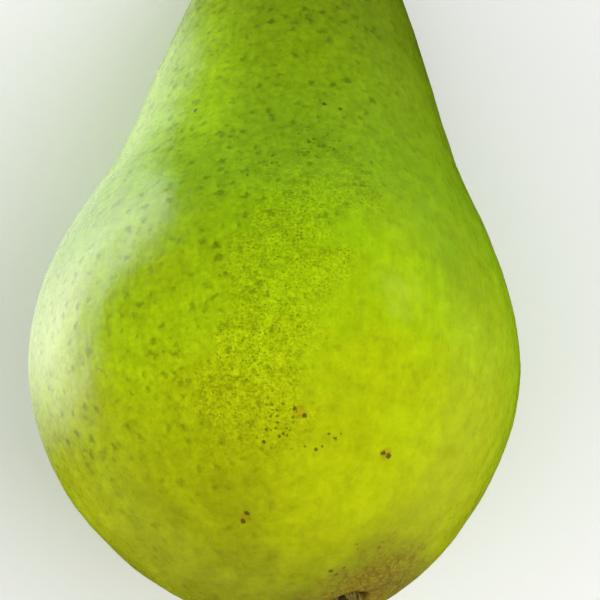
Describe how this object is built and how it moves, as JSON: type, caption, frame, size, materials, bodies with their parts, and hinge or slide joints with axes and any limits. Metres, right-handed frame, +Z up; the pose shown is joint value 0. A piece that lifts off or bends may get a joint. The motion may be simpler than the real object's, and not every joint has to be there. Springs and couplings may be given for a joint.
{
  "type": "pear",
  "caption": "Fresh green pear lying on its side, with a woody stalk at the neck and the dried flower at the base.",
  "frame": {"origin": "on the table, under the middle of the box that the pear fills", "axes": "+Z up from the table, +Y from the flower end towards the stalk, +X to the right when the stalk points away from the viewer"},
  "size_m": [0.07, 0.132, 0.0692],
  "materials": {
    "skin": "thin waxy pear skin, satin, green at the neck and yellow-green on the belly, with fine darker dots",
    "stalk": "rough brown woody stalk with fine lengthwise furrows and pale dots",
    "sepal": "dry, papery, tan, dark at the tips",
    "stamen": "dry, dark brown threads"
  },
  "bodies": {
    "root": {"fruit": "skin", "stalk": "stalk", "sepal_1": "sepal", "sepal_2": "sepal", "sepal_3": "sepal", "sepal_4": "sepal", "sepal_5": "sepal", "stamens": "stamen"}
  },
  "joints": []
}
